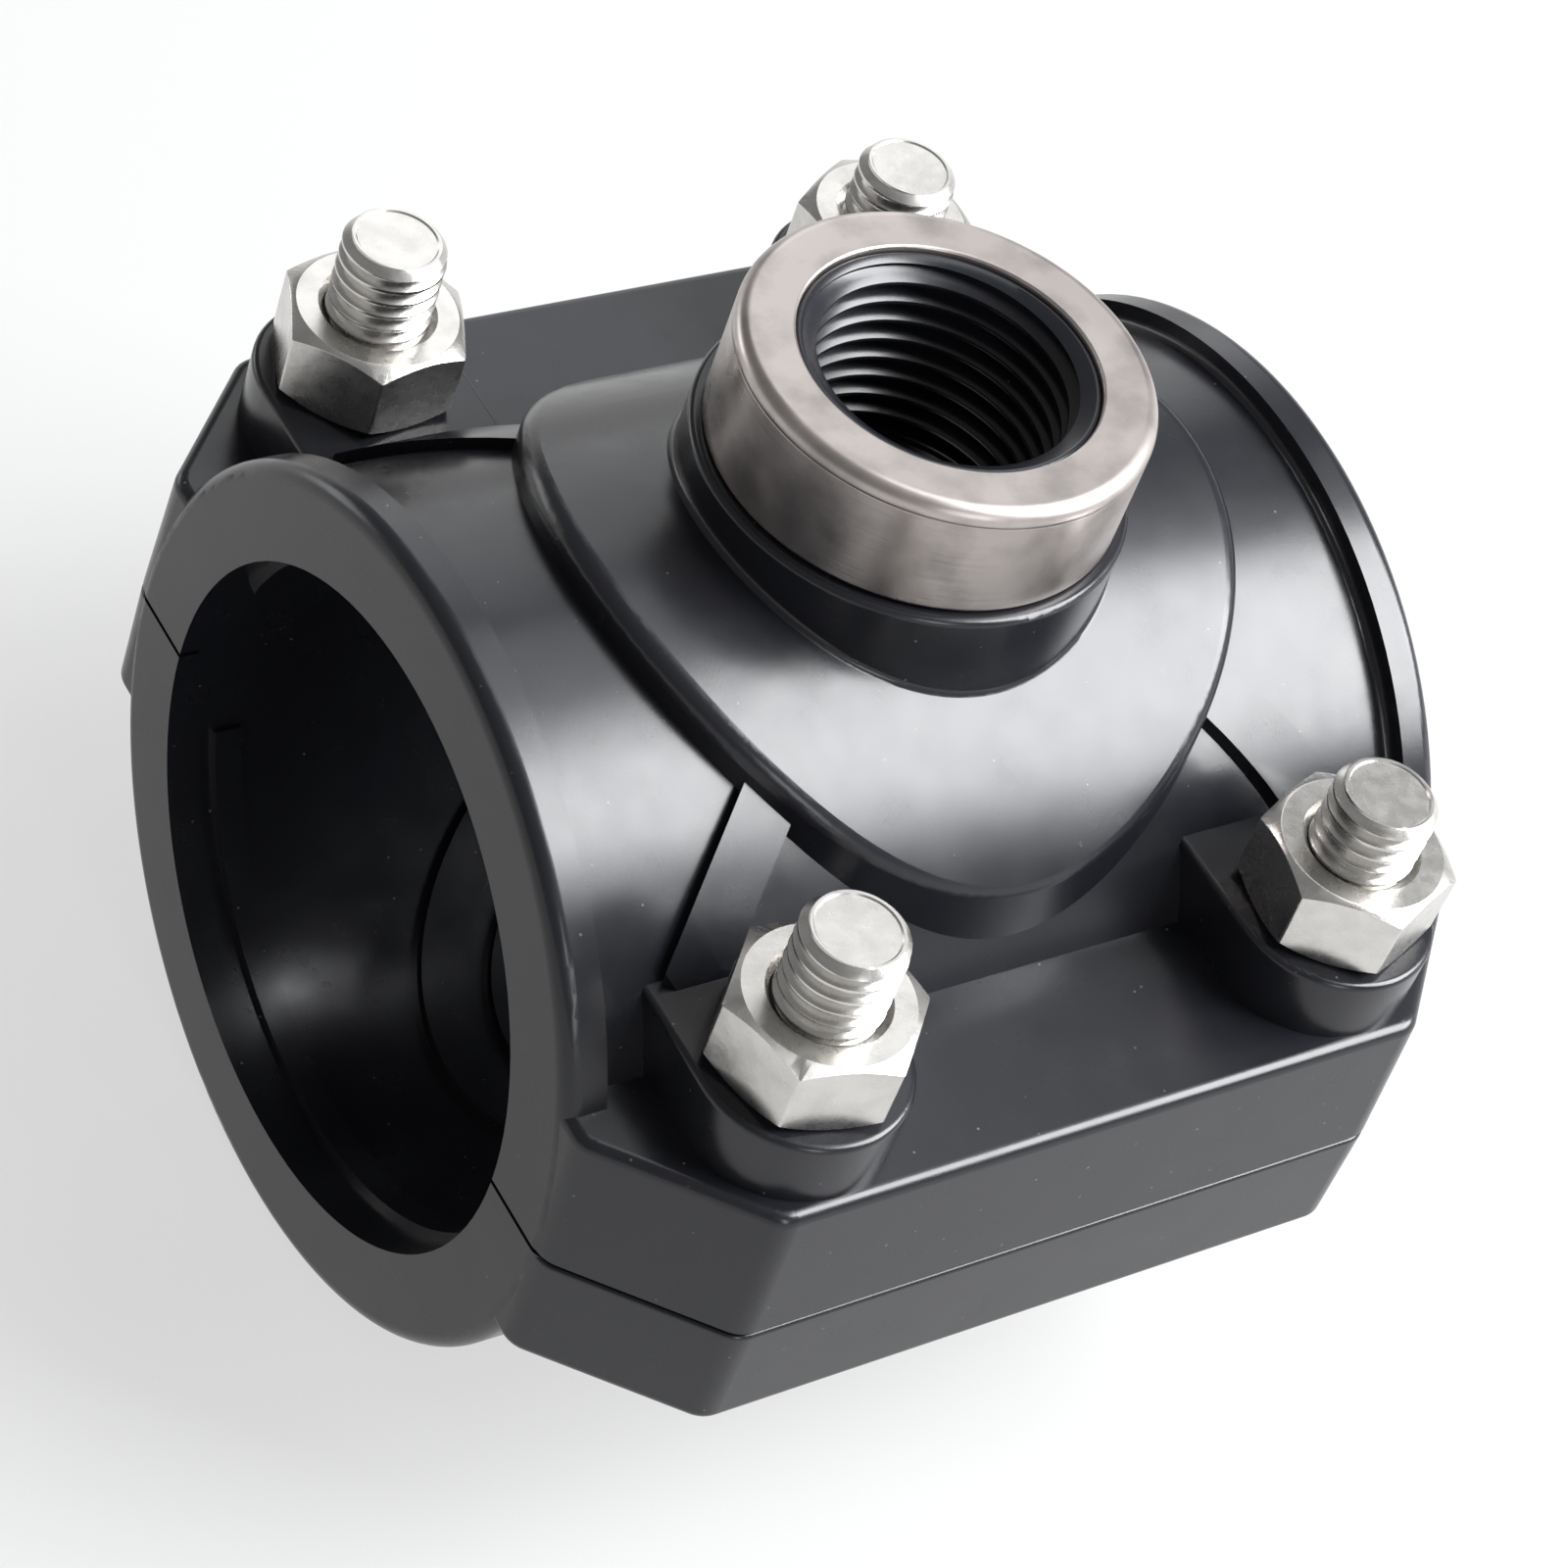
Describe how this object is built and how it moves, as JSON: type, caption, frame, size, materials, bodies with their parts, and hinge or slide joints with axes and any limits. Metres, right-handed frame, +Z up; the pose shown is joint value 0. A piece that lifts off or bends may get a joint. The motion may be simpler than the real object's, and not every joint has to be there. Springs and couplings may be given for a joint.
{
  "type": "tapping saddle",
  "caption": "Two-piece plastic clamp saddle that bolts round a pressure pipe and gives it a threaded branch outlet with a metal reinforcing ring.",
  "frame": {"origin": "where the pipe's axis and the outlet's axis cross", "axes": "+X along the clamped pipe, +Z up the outlet, -Y to the front flange"},
  "size_m": [0.0766, 0.0864, 0.0794],
  "materials": {
    "plastic": "satin black polypropylene",
    "ring_steel": "turned, slightly dull",
    "zinc_steel": "bright zinc plated",
    "seal_rubber": "matt black nitrile rubber"
  },
  "bodies": {
    "saddle": {"upper_saddle": "plastic", "lower_saddle": "plastic", "reinforcing_ring": "ring_steel", "outlet_seal": "seal_rubber"},
    "nut_front_left": {"nut_front_left": "zinc_steel"},
    "bolt_front_left": {"bolt_front_left": "zinc_steel"},
    "nut_front_right": {"nut_front_right": "zinc_steel"},
    "bolt_front_right": {"bolt_front_right": "zinc_steel"},
    "nut_back_left": {"nut_back_left": "zinc_steel"},
    "bolt_back_left": {"bolt_back_left": "zinc_steel"},
    "nut_back_right": {"nut_back_right": "zinc_steel"},
    "bolt_back_right": {"bolt_back_right": "zinc_steel"}
  },
  "joints": [
    {"name": "nut_front_left_turn", "type": "hinge", "parent": "saddle", "child": "nut_front_left", "pos_m": [-0.02305, -0.0338, 0.02175], "axis": [0, 0, 1], "range_deg": [0, 1440]},
    {"name": "bolt_front_left_drop", "type": "slide", "parent": "saddle", "child": "bolt_front_left", "axis": [0, 0, -1], "range_m": [0, 0.005]},
    {"name": "nut_front_right_turn", "type": "hinge", "parent": "saddle", "child": "nut_front_right", "pos_m": [0.02305, -0.0338, 0.02175], "axis": [0, 0, 1], "range_deg": [-403.2, 1036.8]},
    {"name": "bolt_front_right_drop", "type": "slide", "parent": "saddle", "child": "bolt_front_right", "axis": [0, 0, -1], "range_m": [-0.0014, 0.0036]},
    {"name": "nut_back_left_turn", "type": "hinge", "parent": "saddle", "child": "nut_back_left", "pos_m": [-0.02305, 0.0338, 0.02175], "axis": [0, 0, 1], "range_deg": [0, 1440]},
    {"name": "bolt_back_left_drop", "type": "slide", "parent": "saddle", "child": "bolt_back_left", "axis": [0, 0, -1], "range_m": [0, 0.005]},
    {"name": "nut_back_right_turn", "type": "hinge", "parent": "saddle", "child": "nut_back_right", "pos_m": [0.02305, 0.0338, 0.02175], "axis": [0, 0, 1], "range_deg": [-518.4, 921.6]},
    {"name": "bolt_back_right_drop", "type": "slide", "parent": "saddle", "child": "bolt_back_right", "axis": [0, 0, -1], "range_m": [-0.0018, 0.0032]}
  ],
  "couplings": [
    {"joint": "bolt_front_left_drop", "follows": "nut_front_left_turn", "m_per_rad": 0.00019894},
    {"joint": "bolt_front_right_drop", "follows": "nut_front_right_turn", "m_per_rad": 0.00019894},
    {"joint": "bolt_back_left_drop", "follows": "nut_back_left_turn", "m_per_rad": 0.00019894},
    {"joint": "bolt_back_right_drop", "follows": "nut_back_right_turn", "m_per_rad": 0.00019894}
  ]
}
